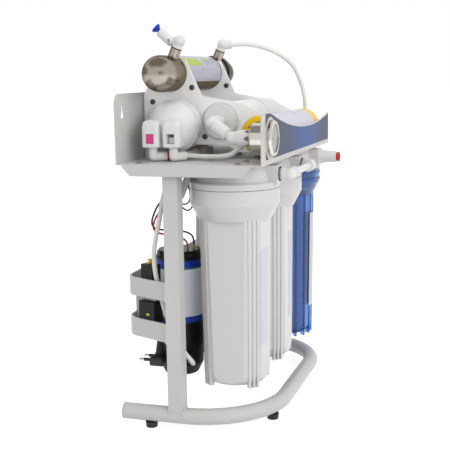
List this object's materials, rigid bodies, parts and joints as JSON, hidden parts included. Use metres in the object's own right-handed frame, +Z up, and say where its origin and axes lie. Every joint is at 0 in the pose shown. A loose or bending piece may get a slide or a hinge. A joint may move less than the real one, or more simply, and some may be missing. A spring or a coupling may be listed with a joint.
{
  "type": "reverse osmosis system",
  "caption": "Free-standing reverse osmosis water unit: bent-tube stand, screw-off filter housings, pump, and a tray with membrane, ultraviolet chamber, inline filters and pressure gauge.",
  "frame": {"origin": "middle of the footprint, on the floor under the rubber feet", "axes": "+X along the row of housings towards the clear blue one, -Y to the front with the gauge, +Z up"},
  "size_m": [0.418, 0.2403, 0.5365],
  "materials": {
    "white_paint": "satin powder coat",
    "white_plastic": "gloss moulded",
    "clear_blue": "clear moulded",
    "grey_plastic": "satin moulded",
    "tube_white": "extruded",
    "black_rubber": "matte moulded",
    "black_plastic": "satin moulded",
    "black_paint": "gloss enamel",
    "cord_vinyl": "satin",
    "stainless": "polished",
    "zinc_steel": "zinc plated",
    "chrome": "plated",
    "clear_glass": "clear",
    "lamp_glass": "clear",
    "dial_white": "matte print",
    "yellow_plastic": "gloss moulded",
    "filter_wrap": "plain film",
    "carbon_black": "pressed carbon in net",
    "carbon_shell": "moulded shell",
    "spun_fibre": "melt-spun",
    "membrane_tape": "taped winding",
    "red_plastic": "gloss moulded",
    "pink_plastic": "gloss moulded",
    "blue_plastic": "gloss moulded"
  },
  "bodies": {
    "frame": {"base_tube": "white_paint", "posts": "white_paint", "rails": "white_paint", "upper_strap": "white_paint", "lower_strap": "white_paint", "tray": "white_paint", "pump_bracket": "white_paint", "cap_1": "white_plastic", "cap_2": "white_plastic", "cap_3": "white_plastic", "port_elbows": "white_plastic", "inlet_fitting": "white_plastic", "membrane_housing": "white_plastic", "membrane_cap": "white_plastic", "tray_elbows": "white_plastic", "uv_elbows": "white_plastic", "near_plate": "white_plastic", "far_plate": "white_plastic", "inline_filter": "white_plastic", "gauge_adapter": "white_plastic", "tube_end_plugs": "grey_plastic", "jumper_tubes": "tube_white", "product_tube": "tube_white", "pump_tubes": "tube_white", "tray_tubes": "tube_white", "rubber_feet": "black_rubber", "head_o_rings": "black_rubber", "pump_head": "black_plastic", "power_adapter": "black_plastic", "uv_ballast": "black_plastic", "shutoff_valve": "black_plastic", "plate_screws": "black_plastic", "pump_motor": "black_paint", "cord_run": "cord_vinyl", "cord_coil": "cord_vinyl", "cord_drop": "cord_vinyl", "mains_plug": "cord_vinyl", "cord_tie": "cord_vinyl", "uv_chamber": "stainless", "tray_screws": "zinc_steel", "gauge_case": "chrome", "gauge_glass": "clear_glass", "uv_sleeve": "clear_glass", "uv_lamp": "lamp_glass", "gauge_dial": "dial_white", "post_filter_caps": "yellow_plastic", "post_filter": "filter_wrap", "membrane_element": "membrane_tape"},
    "cartridge_1": {"block_filter": "carbon_black"},
    "sump_1": {"sump_1": "white_plastic"},
    "cartridge_2": {"carbon_filter": "carbon_shell"},
    "sump_2": {"sump_2": "white_plastic"},
    "cartridge_3": {"sediment_filter": "spun_fibre"},
    "sump_3": {"sump_3": "clear_blue"},
    "collet": {"inlet_collet": "red_plastic"},
    "clip": {"locking_clip": "pink_plastic"},
    "plug": {"outlet_plug": "blue_plastic"},
    "boot": {"uv_boot": "black_rubber"},
    "pointer": {"gauge_pointer": "black_plastic"},
    "rotor": {"pump_rotor": "zinc_steel"}
  },
  "joints": [
    {"name": "sump_1_drop", "type": "slide", "parent": "frame", "child": "cartridge_1", "axis": [0, 0, -1], "range_m": [0, 0.0181]},
    {"name": "sump_1_turn", "type": "hinge", "parent": "cartridge_1", "child": "sump_1", "pos_m": [-0.13, -0.02695, 0.3215], "axis": [0, 0, -1], "range_deg": [0, 1080]},
    {"name": "sump_2_drop", "type": "slide", "parent": "frame", "child": "cartridge_2", "axis": [0, 0, -1], "range_m": [0, 0.0181]},
    {"name": "sump_2_turn", "type": "hinge", "parent": "cartridge_2", "child": "sump_2", "pos_m": [0, -0.02695, 0.3215], "axis": [0, 0, -1], "range_deg": [0, 1080]},
    {"name": "sump_3_drop", "type": "slide", "parent": "frame", "child": "cartridge_3", "axis": [0, 0, -1], "range_m": [0, 0.0181]},
    {"name": "sump_3_turn", "type": "hinge", "parent": "cartridge_3", "child": "sump_3", "pos_m": [0.13, -0.02695, 0.3215], "axis": [0, 0, -1], "range_deg": [0, 1080]},
    {"name": "collet_press", "type": "slide", "parent": "frame", "child": "collet", "axis": [0, 1, 0], "range_m": [0, 0.0018], "stiffness_N_per_m": 600},
    {"name": "clip_pull", "type": "slide", "parent": "frame", "child": "clip", "axis": [-1, 0, 0], "range_m": [0, 0.012]},
    {"name": "plug_pull", "type": "slide", "parent": "frame", "child": "plug", "axis": [0, 0.7431, 0.6691], "range_m": [0, 0.02]},
    {"name": "boot_pull", "type": "slide", "parent": "frame", "child": "boot", "axis": [1, 0, 0], "range_m": [0, 0.04]},
    {"name": "pointer_swing", "type": "hinge", "parent": "frame", "child": "pointer", "pos_m": [-0.167, -0.08895, 0.388], "axis": [0, 1, 0], "range_deg": [0, 270], "stiffness_Nm_per_rad": 0.0005},
    {"name": "rotor_spin", "type": "hinge", "parent": "frame", "child": "rotor", "pos_m": [-0.11, 0.06105, 0.1675], "axis": [0, 0, 1], "continuous": true}
  ],
  "couplings": [
    {"joint": "sump_1_drop", "follows": "sump_1_turn", "m_per_rad": 0.00095493},
    {"joint": "sump_2_drop", "follows": "sump_2_turn", "m_per_rad": 0.00095493},
    {"joint": "sump_3_drop", "follows": "sump_3_turn", "m_per_rad": 0.00095493}
  ]
}
